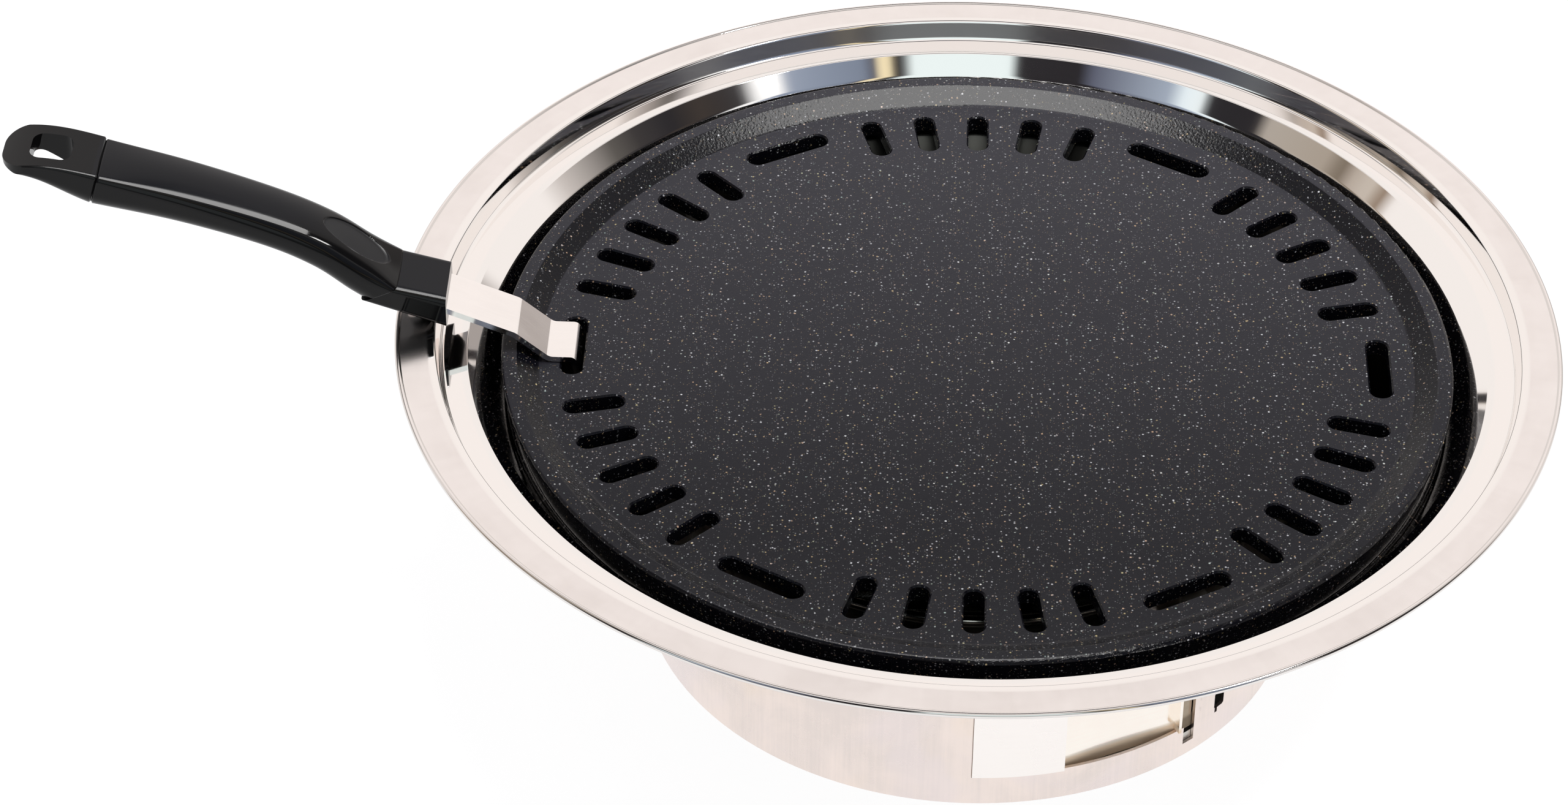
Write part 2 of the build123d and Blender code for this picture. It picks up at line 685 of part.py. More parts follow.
# End cap with its plug, its tip rounded in plan, and the hanging hole
with BuildPart() as end_cap:
    add(handle_blank.part)
    split(bisect_by=cap_seam, keep=Keep.TOP)
    with BuildSketch(Plane.XY.offset(mouth_bottom)) as cap_plan:
        with Locations((-mouth_radius - handle_reach + cap_tip_trim, 0)):
            Rectangle(handle_reach, grip_width + 2 * fit_gap, align=(Align.MIN, Align.CENTER))
        fillet(cap_plan.vertices().group_by(Axis.X)[0], radius=cap_tip_round)
    extrude(amount=2 * handle_rise, mode=Mode.INTERSECT)
    chamfer(end_cap.faces().sort_by(cap_axis)[0].edges(), length=seam_chamfer)
    with BuildSketch(Plane.XY.offset(mouth_bottom)):
        with Locations((-mouth_radius - hang_hole_reach, 0)):
            RectangleRounded(hang_hole_length, hang_hole_width, hang_hole_corner)
    extrude(amount=2 * handle_rise, mode=Mode.SUBTRACT)
    with BuildSketch(plug_plane):
        Rectangle(cap_plug_width, cap_plug_height)
    extrude(amount=-cap_plug_length)
finish(end_cap, "end_cap")

# Neck: a black sleeve from the grip to the mouth, with the strap's pocket and the tenon
mouth_plane = plane_between((-mouth_radius, 0, neck_top), (-mouth_radius, 0, mouth_bottom))
with BuildPart() as handle_neck:
    with BuildSketch(neck_seam) as neck_root:
        with Locations((0, -neck_inset)):
            Rectangle(neck_width, station_heights[0] - 2 * neck_inset, align=(Align.CENTER, Align.MAX))
        fillet(neck_root.vertices(), radius=neck_round)
    with BuildSketch(mouth_plane) as neck_end:
        Rectangle(neck_width, neck_top - mouth_bottom, align=(Align.CENTER, Align.MAX))
        fillet(neck_end.vertices(), radius=neck_round)
    loft()
    with BuildSketch(tenon_plane):
        Rectangle(tenon_width, tenon_height)
    extrude(amount=tenon_length)
    with BuildSketch(Plane.XZ):
        with BuildLine():
            Line(strap_root, strap_mouth)
            offset(amount=strap_sheet / 2 + fit_gap, side=Side.BOTH)
        make_face()
    extrude(amount=strap_width / 2 + fit_gap, both=True, mode=Mode.SUBTRACT)
    with BuildSketch(screw_plane.offset(-screw_below - screw_head_height - overrun)):
        Circle(screw_head_radius + fit_gap)
    extrude(amount=screw_head_height + overrun, mode=Mode.SUBTRACT)
    with BuildSketch(screw_plane.offset(-screw_below - overrun)):
        Circle(screw_radius + fit_gap)
    extrude(amount=screw_below + screw_above + overrun, mode=Mode.SUBTRACT)
finish(handle_neck, "handle_neck")

# Screw through the neck and the strap, its head sunk from below
with BuildPart() as neck_screw:
    with BuildSketch(screw_plane.offset(-screw_below - screw_head_height)):
        Circle(screw_head_radius)
    extrude(amount=screw_head_height)
    with BuildSketch(screw_plane.offset(-screw_below)):
        Circle(screw_radius)
    extrude(amount=screw_below + screw_above)
finish(neck_screw, "neck_screw")
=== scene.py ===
import json
import math
import bmesh
import bpy
from mathutils import Matrix, Vector


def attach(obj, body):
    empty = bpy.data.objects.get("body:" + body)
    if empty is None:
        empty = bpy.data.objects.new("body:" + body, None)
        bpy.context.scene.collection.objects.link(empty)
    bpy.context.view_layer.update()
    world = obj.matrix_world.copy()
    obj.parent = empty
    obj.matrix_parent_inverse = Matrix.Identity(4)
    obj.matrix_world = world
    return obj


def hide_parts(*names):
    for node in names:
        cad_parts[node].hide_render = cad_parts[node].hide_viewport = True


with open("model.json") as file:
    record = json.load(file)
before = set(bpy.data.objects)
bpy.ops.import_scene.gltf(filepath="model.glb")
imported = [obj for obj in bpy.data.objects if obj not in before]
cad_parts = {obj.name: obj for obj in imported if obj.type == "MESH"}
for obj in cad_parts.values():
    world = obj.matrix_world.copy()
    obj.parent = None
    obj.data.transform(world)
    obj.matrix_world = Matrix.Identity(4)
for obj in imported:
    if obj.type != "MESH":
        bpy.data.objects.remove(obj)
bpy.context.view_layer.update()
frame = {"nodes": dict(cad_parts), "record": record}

nodes = frame["nodes"]


# ---------------------------------------------------------------- node helpers
class Graph:
    """Short names for the shader nodes of one material or world."""

    def __init__(self, tree):
        self.tree = tree
        self.nodes = tree.nodes
        self.nodes.clear()

    def add(self, kind, **values):
        node = self.nodes.new(kind)
        for key, value in values.items():
            setattr(node, key, value)
        return node

    def link(self, source, target):
        self.tree.links.new(source, target)

    def put(self, socket, value):
        """Links or writes a value into a socket; None leaves the socket as it is."""
        if isinstance(value, bpy.types.NodeSocket):
            self.link(value, socket)
        elif value is not None:
            if socket.type == "RGBA" and len(value) == 3:
                value = (*value, 1.0)
            socket.default_value = value

    def math(self, operation, a, b=None):
        node = self.add("ShaderNodeMath", operation=operation)
        for socket, value in zip(node.inputs, (a, b)):
            self.put(socket, value)
        return node.outputs[0]

    def plus(self, a, b):
        return self.math("ADD", a, b)

    def less(self, a, b):
        return self.math("SUBTRACT", a, b)

    def times(self, a, b):
        return self.math("MULTIPLY", a, b)

    def larger(self, a, b):
        return self.math("MAXIMUM", a, b)

    def length(self, vector):
        node = self.add("ShaderNodeVectorMath", operation="LENGTH")
        self.put(node.inputs[0], vector)
        return node.outputs["Value"]

    def position(self):
        return self.add("ShaderNodeTexCoord").outputs["Object"]

    def upward(self):
        """How far the surface faces up: 1 on a level top, 0 on an upright wall."""
        return self.split(self.add("ShaderNodeNewGeometry").outputs["Normal"])[2]

    def split(self, vector):
        node = self.add("ShaderNodeSeparateXYZ")
        self.put(node.inputs[0], vector)
        return node.outputs

    def join(self, x, y, z):
        node = self.add("ShaderNodeCombineXYZ")
        for socket, value in zip(node.inputs, (x, y, z)):
            self.put(socket, value)
        return node.outputs[0]

    def step(self, value, low, high, smooth=True):
        """Goes from 0 at low to 1 at high; low may be the larger of the two."""
        kind = "SMOOTHSTEP" if smooth else "LINEAR"
        node = self.add("ShaderNodeMapRange", interpolation_type=kind)
        for socket, item in zip(node.inputs, (value, low, high)):
            self.put(socket, item)
        return node.outputs[0]

    def noise(self, vector, scale, detail=2.0, roughness=0.5, distortion=0.0):
        node = self.add("ShaderNodeTexNoise")
        self.put(node.inputs["Vector"], vector)
        self.put(node.inputs["Scale"], scale)
        self.put(node.inputs["Detail"], detail)
        self.put(node.inputs["Roughness"], roughness)
        self.put(node.inputs["Distortion"], distortion)
        return node.outputs["Fac"]

    def voronoi(self, vector, scale):
        """Distance to the nearest cell's point, and that cell's random colour."""
        node = self.add("ShaderNodeTexVoronoi")
        self.put(node.inputs["Vector"], vector)
        self.put(node.inputs["Scale"], scale)
        return node.outputs["Distance"], node.outputs["Color"]

    def mix(self, factor, a, b):
        node = self.add("ShaderNodeMix", data_type="RGBA")
        self.put(node.inputs[0], factor)
        self.put(node.inputs[6], a)
        self.put(node.inputs[7], b)
        return node.outputs[2]

    def mix_value(self, factor, a, b):
        node = self.add("ShaderNodeMix", data_type="FLOAT")
        self.put(node.inputs[0], factor)
        self.put(node.inputs[2], a)
        self.put(node.inputs[3], b)
        return node.outputs[0]

    def ramp(self, factor, stops):
        node = self.add("ShaderNodeValToRGB")
        elements = node.color_ramp.elements
        while len(elements) < len(stops):
            elements.new(0.5)
        for element, (place, colour) in zip(elements, stops):
            element.position = place
            element.color = (*colour, 1.0)
        self.put(node.inputs[0], factor)
        return node.outputs[0]

    def bump(self, height, distance, strength):
        node = self.add("ShaderNodeBump")
        self.put(node.inputs["Height"], height)
        self.put(node.inputs["Distance"], distance)
        self.put(node.inputs["Strength"], strength)
        return node.outputs[0]

    def surface(self, **values):
        shader = self.add("ShaderNodeBsdfPrincipled")
        for key, value in values.items():
            self.put(shader.inputs[key.replace("_", " ")], value)
        out = self.add("ShaderNodeOutputMaterial")
        self.link(shader.outputs[0], out.inputs["Surface"])


def material(name):
    item = bpy.data.materials.new(name)
    item.use_nodes = True
    return item, Graph(item.node_tree)


def polar(graph, place):
    """Radius, azimuth in turns, and height of a point in the part's frame."""
    x, y, z = graph.split(place)
    radius = graph.length(graph.join(x, y, 0.0))
    turn = graph.math("DIVIDE", graph.math("ARCTAN2", y, x), 2 * math.pi)
    return radius, turn, z


def at(degrees):
    """An angle as a share of a whole turn."""
    return degrees / 360


# ---------------------------------------------------------------- spun ring
RING_CORNERS = (                                      # radius and height, in mm
    (98.0, 37.0), (98.0, 46.3), (103.0, 46.3),        # collar and its seat on the drum
    (131.0, 80.0), (141.0, 80.0),                     # funnel and the seat of the plate
    (147.4, 90.3), (152.5, 95.4),                     # mirror wall with its soft knee
    (160.3, 95.4), (162.0, 101.6), (173.2, 101.2))    # ledge, step and flange
RING_BENDS = (0.002, 0.002, 0.004, 0.002, 0.004, 0.0005, 0.0014, 0.0009)
RING_SHEET = 0.001
RING_SEGMENTS = 900
HEM_CENTRE = Vector((0.1732, 0.1007))
HEM_RADIUS = 0.0009
HEM_BLEND = 0.0005
BEND_STEP = 3                                         # degrees between points in a bend
ARC_STEP = 8                                          # and in the hem and the foot
SAME_POINT = 1e-7


def rounded_path(points, radii):
    """Points and unit tangents along a path whose inner corners are rounded."""
    path = []
    start = (points[1] - points[0]).normalized()
    path.append((points[0], start))
    for before, corner, after, radius in zip(points, points[1:], points[2:], radii):
        inward = (corner - before).normalized()
        outward = (after - corner).normalized()
        turn = inward.angle_signed(outward)
        reach = radius * math.tan(abs(turn) / 2)
        side = math.copysign(1.0, turn)
        first = corner - inward * reach
        centre = first + Vector((inward.y, -inward.x)) * radius * side
        count = max(2, math.ceil(math.degrees(abs(turn)) / BEND_STEP))
        for index in range(count + 1):
            angle = -turn * index / count
            spin = Matrix.Rotation(angle, 2)
            path.append((centre + spin @ (first - centre), spin @ inward))
    last = (points[-1] - points[-2]).normalized()
    path.append((points[-1], last))
    return path


def arc(centre, radius, start, end, inward=False):
    """Points and normals on an arc between two angles in degrees."""
    count = max(3, math.ceil(abs(end - start) / ARC_STEP))
    result = []
    for index in range(count + 1):
        angle = math.radians(start + (end - start) * index / count)
        ray = Vector((math.cos(angle), math.sin(angle)))
        result.append((centre + ray * radius, -ray if inward else ray))
    return result


def add_piece(name, mesh):
    piece = bpy.data.objects.new(name, mesh)
    bpy.context.scene.collection.objects.link(piece)
    return piece


def spun(name, profile, segments):
    """Turns a closed profile of points and normals about the upright axis."""
    count = len(profile)
    points, normals, faces = [], [], []
    for index in range(segments):
        angle = 2 * math.pi * index / segments
        cosine, sine = math.cos(angle), math.sin(angle)
        for (r, z), (nr, nz) in profile:
            points.append((r * cosine, r * sine, z))
            normals.append((nr * cosine, nr * sine, nz))
    for index in range(segments):
        near = index * count
        far = (index + 1) % segments * count
        for step in range(count):
            after = (step + 1) % count
            if (profile[step][0] - profile[after][0]).length > SAME_POINT:
                faces.append((near + step, far + step, far + after, near + after))
    mesh = bpy.data.meshes.new(name)
    mesh.from_pydata(points, [], faces)
    mesh.polygons.foreach_set("use_smooth", [True] * len(mesh.polygons))
    mesh.update()
    if mesh.polygons[0].normal.dot(Vector(normals[faces[0][0]])) < 0:
        mesh.flip_normals()
    mesh.normals_split_custom_set_from_vertices(normals)
    return add_piece(name, mesh)


def ring_profile():
    """Section of the top ring, from the collar over the flange's hem and back below."""
    corners = [Vector(pair) / 1000 for pair in RING_CORNERS]
    path = rounded_path(corners, RING_BENDS)[:-1]
    upper = [(point, Vector((-way.y, way.x))) for point, way in path]
    lower = []
    for point, way in path:
        down = Vector((way.y, -way.x))
        lower.append((point + down * RING_SHEET, down))
    top = corners[-1].y + 0.00003
    rise = top + HEM_BLEND - HEM_CENTRE.y
    run = math.sqrt((HEM_RADIUS + HEM_BLEND) ** 2 - rise ** 2)
    hollow = Vector((HEM_CENTRE.x - run, top + HEM_BLEND))
    lean = math.degrees(math.atan2(hollow.y - HEM_CENTRE.y, hollow.x - HEM_CENTRE.x))
    upper += arc(hollow, HEM_BLEND, -90, lean - 180, inward=True)
    under = math.degrees(math.asin((HEM_CENTRE.y - top + RING_SHEET) / HEM_RADIUS))
    hem = arc(HEM_CENTRE, HEM_RADIUS, lean, -180 + under)
    lower.append((hem[-1][0], Vector((0.0, -1.0))))
    lower.reverse()
    foot = arc(corners[0] + Vector((RING_SHEET / 2, 0.0)), RING_SHEET / 2, 0, -180)
    return upper + hem + lower + foot[1:-1]


top_ring = spun("top_ring_spun", ring_profile(), RING_SEGMENTS)
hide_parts("top_ring")
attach(top_ring, "ring")


# ---------------------------------------------------------------- grip
# Stations along the grip, from the neck to the end cap: x and z in mm of its top and its
# under side, then the radius of its top edges and of its belly and the top's crown, in metres.
GRIP_TOPS = ((-172.3, 116.0), (-180.6, 123.0), (-192.0, 131.6),
             (-208.0, 139.3), (-233.8, 148.0), (-258.8, 153.9))
GRIP_FEET = ((-183.7, 110.7), (-187.6, 113.6), (-197.6, 121.6),
             (-212.1, 128.7), (-236.3, 136.2), (-262.1, 142.0))
GRIP_EDGES = (0.0022, 0.0048, 0.0052, 0.0048, 0.0034, 0.0018)
GRIP_BELLIES = (0.0058, 0.0054, 0.0052, 0.0052, 0.0056, 0.0057)
GRIP_CROWNS = (0.0004, 0.0009, 0.0015, 0.0018, 0.0016, 0.0005)
GRIP_HALF_WIDTH = 0.0108
GRIP_END_INSET = 0.00045                              # small step where the end cap starts
GRIP_END_RUN = 0.018                                  # its length, in stations
TOP_STEPS, EDGE_STEPS, SIDE_STEPS, BELLY_STEPS = 28, 18, 8, 24
FINE_ROWS, PLAIN_ROWS = 60, 28                        # rows per station, by the thumb rest

THUMB_X, THUMB_Z = -0.1855, 0.1255                    # middle of the thumb rest
THUMB_LEAN = math.radians(40)
THUMB_HALF_LENGTH, THUMB_HALF_WIDTH = 0.0115, 0.0055
THUMB_DROP = 0.0005
THUMB_EDGE, THUMB_SOFTNESS = 1.03, 0.06
TOP_SKIN = 0.004                                      # the rest is pressed into this depth


def curve_through(values, place):
    """Value of a smooth curve through equally spaced values, place 0 at the first."""
    last = len(values) - 1
    index = min(int(place), last - 1)
    t = place - index
    a, b, c, d = (values[min(max(index + step, 0), last)] for step in (-1, 0, 1, 2))
    if index == 0:
        a = b * 2 - c
    if index == last - 1:
        d = c * 2 - b
    bend = (a * 2 - b * 5 + c * 4 - d) * (t * t / 2)
    twist = (b * 3 - a - c * 3 + d) * (t ** 3 / 2)
    return b + (c - a) * (t / 2) + bend + twist


def grip_section(height, edge, belly, crown, inset):
    """Section points of the grip: across, and down from its top; crowned above, round below."""
    half = GRIP_HALF_WIDTH - inset
    low = height - inset
    flat = half - edge
    points = []
    for index in range(2 * TOP_STEPS + 1):
        y = flat * (1 - index / TOP_STEPS)
        points.append((y, inset + crown * (y / half) ** 2))
    top_count = len(points)
    shoulder = crown * (flat / half) ** 2 + inset
    lean = math.atan(2 * crown * flat / half ** 2)
    for index in range(1, EDGE_STEPS + 1):
        angle = lean + (math.pi / 2 - lean) * index / EDGE_STEPS
        out = (math.sin(angle) - math.sin(lean)) / (1 - math.sin(lean))
        points.append((-flat - edge * out, shoulder + edge * (math.cos(lean) - math.cos(angle))))
    side = points[-1][1]
    for index in range(1, SIDE_STEPS + 1):
        points.append((-half, side + (low - belly - side) * index / SIDE_STEPS))
    for index in range(1, BELLY_STEPS + 1):
        angle = math.pi / 2 * index / BELLY_STEPS
        across = -half + belly * (1 - math.cos(angle))
        points.append((across, low - belly + belly * math.sin(angle)))
    return points + [(-y, down) for y, down in reversed(points[top_count:])]


def thumb_depth(spot, y):
    """Share of the thumb rest's full drop at a point of the grip's top."""
    lengthwise = Vector((-math.cos(THUMB_LEAN), math.sin(THUMB_LEAN)))
    run = (spot - Vector((THUMB_X, THUMB_Z))).dot(lengthwise) / THUMB_HALF_LENGTH
    reach = math.sqrt(run * run + (y / THUMB_HALF_WIDTH) ** 2)
    return min(max((THUMB_EDGE - reach) / THUMB_SOFTNESS, 0.0), 1.0)


def grip(name):
    """Handle grip: crowned top, round belly, thumb rest pressed into the slope by the neck."""
    tops = [Vector(pair) / 1000 for pair in GRIP_TOPS]
    feet = [Vector(pair) / 1000 for pair in GRIP_FEET]
    last = len(tops) - 1
    places = []
    for index in range(last):
        count = FINE_ROWS if index in (1, 2) else PLAIN_ROWS
        places += [index + step / count for step in range(count)]
    places += [last - GRIP_END_RUN, float(last)]
    points, faces = [], []
    for place in places:
        top, foot = curve_through(tops, place), curve_through(feet, place)
        edge, belly, crown = (curve_through(row, place)
                              for row in (GRIP_EDGES, GRIP_BELLIES, GRIP_CROWNS))
        inset = GRIP_END_INSET if place == last else 0.0
        down = (foot - top).normalized()
        for y, drop in grip_section((foot - top).length, edge, belly, crown, inset):
            spot = top + down * drop
            if drop < TOP_SKIN:
                spot = spot + down * THUMB_DROP * thumb_depth(spot, y)
            points.append((spot.x, y, spot.y))
    count = len(points) // len(places)
    for row in range(len(places) - 1):
        near, far = row * count, (row + 1) * count
        for step in range(count):
            after = (step + 1) % count
            faces.append((near + step, near + after, far + after, far + step))
    faces.append(tuple(reversed(range(count))))
    faces.append(tuple(range((len(places) - 1) * count, len(places) * count)))
    mesh = bpy.data.meshes.new(name)
    mesh.from_pydata(points, [], faces)
    mesh.polygons.foreach_set("use_smooth", [True] * (len(faces) - 2) + [False] * 2)
    mesh.update()
    work = bmesh.new()
    work.from_mesh(mesh)
    bmesh.ops.remove_doubles(work, verts=work.verts, dist=1e-6)
    bmesh.ops.recalc_face_normals(work, faces=work.faces)
    work.to_mesh(mesh)
    work.free()
    return add_piece(name, mesh)


grip_moulded = grip("grip_moulded")
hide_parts("handle_grip")
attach(grip_moulded, "handle")


# ---------------------------------------------------------------- materials
def ring_steel():
    """Spun steel: brushed flange, polished step, ledge and wall, duller under side. The under
    side and the hem are painted darker as shade, and the funnel below the plate's seat is
    painted dark as shade.
    """
    # The third tone is painted shade for the hem and the under side.
    polished, ledge_tone, hem_and_under_shade = (0.93, 0.91, 0.895), (0.955, 0.92, 0.90), (0.73, 0.70, 0.68)
    brushed_light, brushed_dark = (0.95, 0.905, 0.89), (0.86, 0.805, 0.785)
    # Painted shade for the funnel below the plate's seat.
    funnel_shade = (0.13, 0.12, 0.11)
    dull = 0.30
    item, g = material("ring_steel")
    place = g.position()
    radius, turn, z = polar(g, place)
    facing = g.upward()
    up = g.step(facing, 0.75, 0.97)
    flange = g.times(g.step(radius, 0.1632, 0.1648), up)
    ledge = g.times(g.step(radius, 0.1538, 0.1552), g.less(up, flange))
    under = g.step(facing, -0.05, -0.25)
    hem = g.times(g.step(radius, 0.1715, 0.1725), g.step(facing, 0.985, 0.93))
    inside = g.times(g.step(z, 0.0803, 0.0790), g.less(1.0, under))
    cloud = g.noise(place, 22.0, 3.0)
    rays = g.join(g.times(turn, 240.0), g.times(radius, 14.0), 0.0)
    streak = g.noise(rays, 1.0, 4.0, 0.65)
    rounds = g.join(g.times(turn, 5.0), g.times(radius, 2400.0), g.times(z, 2400.0))
    spin = g.noise(rounds, 1.0, 3.0, 0.6)
    blots = g.join(g.times(turn, 40.0), g.times(radius, 60.0), 3.0)
    patch = g.step(g.noise(blots, 1.0, 3.0, 0.6), 0.35, 0.75)
    marks = g.plus(g.times(streak, 0.5), g.times(patch, 0.5))
    base = g.mix(flange, polished, g.mix(marks, brushed_light, brushed_dark))
    base = g.mix(ledge, base, ledge_tone)
    # Painted shade: the under side and the hem get a darker tone.
    base = g.mix(g.larger(under, hem), base, hem_and_under_shade)
    # Painted shade: the funnel below the plate's seat is darkened.
    base = g.mix(inside, base, funnel_shade)
    rough = g.mix_value(flange, g.mix_value(cloud, 0.03, 0.06), g.mix_value(marks, 0.17, 0.24))
    rough = g.mix_value(ledge, rough, 0.05)
    rough = g.mix_value(g.larger(under, inside), rough, dull)
    height = g.mix_value(flange, g.times(cloud, 0.25), g.mix_value(spin, marks, 0.2))
    g.surface(Base_Color=base, Metallic=1.0, Roughness=rough,
              Normal=g.bump(height, 0.00002, 0.4))
    return item


def sheet_steel(name, light, dark, rough, grain=(40.0, 40.0, 1600.0), tint=None, worn=None):
    """Rolled sheet: fine grain along one way, cloudy tone, faint handling marks; a tint may add
    marks, painted shade or a painted reflection.
    """
    item, g = material(name)
    place = g.position()
    x, y, z = g.split(place)
    drawn = g.join(g.times(x, grain[0]), g.times(y, grain[1]), g.times(z, grain[2]))
    fine = g.noise(drawn, 1.0, 4.0, 0.6)
    cloud = g.noise(place, 34.0, 5.0, 0.62, 0.5)
    tone = g.plus(g.times(fine, 0.3), g.times(cloud, 0.7))
    base = g.mix(g.step(tone, 0.36, 0.64), dark, light)
    if tint is not None:
        base = tint(g, place, base)
    roughness = g.mix_value(cloud, rough - 0.05, rough + 0.07)
    if worn is not None:
        roughness = worn(g, z, roughness)
    g.surface(Base_Color=base, Metallic=1.0, Roughness=roughness,
              Normal=g.bump(fine, 0.00002, 0.4))
    return item


def drum_marks(g, place, base):
    """Faint warm and rosy patches, small dark handling marks."""
    warm_patch, rosy_patch, mark = (0.93, 0.79, 0.66), (0.84, 0.755, 0.76), (0.45, 0.38, 0.33)
    hue = g.noise(place, 16.0, 3.0, 0.55, 0.8)
    base = g.mix(g.times(g.step(hue, 0.50, 0.66), 0.55), base, warm_patch)
    base = g.mix(g.times(g.step(hue, 0.46, 0.34), 0.45), base, rosy_patch)
    spot = g.noise(place, 120.0, 4.0, 0.7)
    return g.mix(g.times(g.step(spot, 0.66, 0.78), 0.35), base, mark)


def cover_edge_shadow(g, place, base):
    """A dark painted shadow along the cover's left end."""
    turn = polar(g, place)[1]
    return g.mix(g.step(turn, at(-88.86), at(-88.94)), base, (0.16, 0.10, 0.07))


def door_shade_and_reflection(g, place, base):
    """The door's tail, past the lip, is painted darker as shade; its foot is painted warmer, as
    a painted reflection.
    """
    # Painted shade for the tail and a painted reflection for the foot.
    tail_shade_light, tail_shade_dark, foot = (0.42, 0.345, 0.26), (0.27, 0.215, 0.155), (1.0, 0.86, 0.70)
    _, turn, z = polar(g, place)
    tail = g.step(turn, at(-50.95), at(-50.75))
    tail_shade = g.mix(g.noise(place, 260.0, 3.0), tail_shade_light, tail_shade_dark)
    # Painted reflection: the foot is made warmer.
    base = g.mix(g.step(z, 0.0150, 0.0125), base, foot)
    # Painted shade on the tail, past the lip.
    return g.mix(tail, base, tail_shade)


def door_wear(g, z, roughness):
    """The door's lowest strip, beside its rail, is dull."""
    return g.mix_value(g.step(z, 0.0152, 0.0128), roughness, 0.75)


def plate_coating():
    """Dark non-stick coating with fine light specks of several colours and a soft grain; painted
    lighter towards the back as a sheen, and darker on the sloped rim as shade.
    """
    # Painted sheen: the front and back tones grade the face lighter towards the back.
    painted_sheen_front, painted_sheen_back = (0.0010, 0.0010, 0.0036), (0.0330, 0.0322, 0.0395)
    # Painted shade: the sloped rim's own darker tone.
    slope_shade_tone = (0.0030, 0.0030, 0.0048)
    # Cells per metre, a speck's reach in its cell, the cells that have one, and its strength.
    layers = ((1500.0, 0.30, 0.56, 0.62, 0.26),
              (760.0, 0.26, 0.52, 0.58, 0.62),
              (400.0, 0.16, 0.56, 0.60, 1.0))
    speck_hues = [(0.0, (0.70, 0.70, 0.72)), (0.38, (0.42, 0.42, 0.45)),
                  (0.60, (0.55, 0.36, 0.24)), (0.76, (0.50, 0.42, 0.22)),
                  (0.90, (0.28, 0.36, 0.34)), (1.0, (0.85, 0.83, 0.80))]
    item, g = material("plate_coating")
    place = g.position()
    grain = g.noise(place, 2200.0, 2.0, 0.7)
    pebble = g.noise(place, 1250.0, 1.0, 0.5)
    cloud = g.noise(place, 14.0, 3.0)
    depth = g.plus(g.split(place)[1], g.times(cloud, 0.02))
    # Painted sheen: lighter from the front to the back.
    base = g.mix(g.step(depth, -0.08, 0.16, smooth=False), painted_sheen_front, painted_sheen_back)
    tilt = g.step(g.upward(), 0.97, 0.91)
    # Painted shade on the sloped rim.
    base = g.mix(tilt, base, slope_shade_tone)
    specks = None
    for scale, size, low, high, strength in layers:
        near, cell = g.voronoi(place, scale)
        red, green, blue = g.split(cell)
        dot = g.times(g.step(near, size, size * 0.55), g.step(red, low, high))
        hue = g.ramp(green, speck_hues)
        base = g.mix(g.times(dot, g.mix_value(blue, 0.12, strength)), base, hue)
        specks = dot if specks is None else g.larger(specks, dot)
    smoothest, dullest = g.mix_value(tilt, 0.30, 0.14), g.mix_value(tilt, 0.42, 0.24)
    rough = g.mix_value(specks, g.mix_value(grain, smoothest, dullest), 0.2)
    g.surface(Base_Color=base, Metallic=0.0, Roughness=rough, Specular_IOR_Level=0.13,
              Normal=g.bump(g.mix_value(tilt, grain, pebble), 0.00011, 0.7))
    return item


def black_plastic():
    """Moulded black plastic: polished sides, satin top and a matt thumb rest."""
    gloss_dark, gloss_light = (0.0030, 0.0029, 0.0032), (0.0052, 0.0050, 0.0054)
    satin_tone, cap_tone = (0.0026, 0.0029, 0.0048), (0.0016, 0.0016, 0.0022)
    thumb_tone = (0.0100, 0.0100, 0.0112)
    item, g = material("handle_black")
    place = g.position()
    facing = g.upward()
    x, y, z = g.split(place)
    along = g.plus(g.times(g.less(x, THUMB_X), -math.cos(THUMB_LEAN)),
                   g.times(g.less(z, THUMB_Z), math.sin(THUMB_LEAN)))
    along = g.math("DIVIDE", along, THUMB_HALF_LENGTH)
    across = g.math("DIVIDE", y, THUMB_HALF_WIDTH)
    thumb = g.plus(g.times(along, along), g.times(across, across))
    thumb = g.times(g.step(thumb, 1.02, 0.96), g.step(facing, 0.4, 0.5))
    wave = g.noise(place, 60.0, 2.0)
    grit = g.noise(place, 1800.0, 3.0, 0.6)
    scuff = g.noise(g.join(g.times(x, 140.0), g.times(y, 900.0), z), 1.0, 4.0, 0.65)
    satin = g.step(facing, 0.82, 0.93)
    base = g.mix(satin, g.mix(wave, gloss_dark, gloss_light), satin_tone)
    cap = g.step(x, -0.2600, -0.2606)
    base = g.mix(g.times(cap, satin), base, cap_tone)
    base = g.mix(thumb, base, thumb_tone)
    polish = g.mix_value(g.step(scuff, 0.45, 0.75), 0.05, 0.10)
    rough = g.mix_value(satin, polish, g.mix_value(scuff, 0.17, 0.26))
    rough = g.mix_value(thumb, rough, 0.5)
    height = g.plus(g.times(wave, 0.6), g.times(grit, g.mix_value(thumb, 0.02, 0.4)))
    g.surface(Base_Color=base, Roughness=rough, Specular_IOR_Level=0.19,
              Normal=g.bump(height, 0.0001, 0.12))
    return item


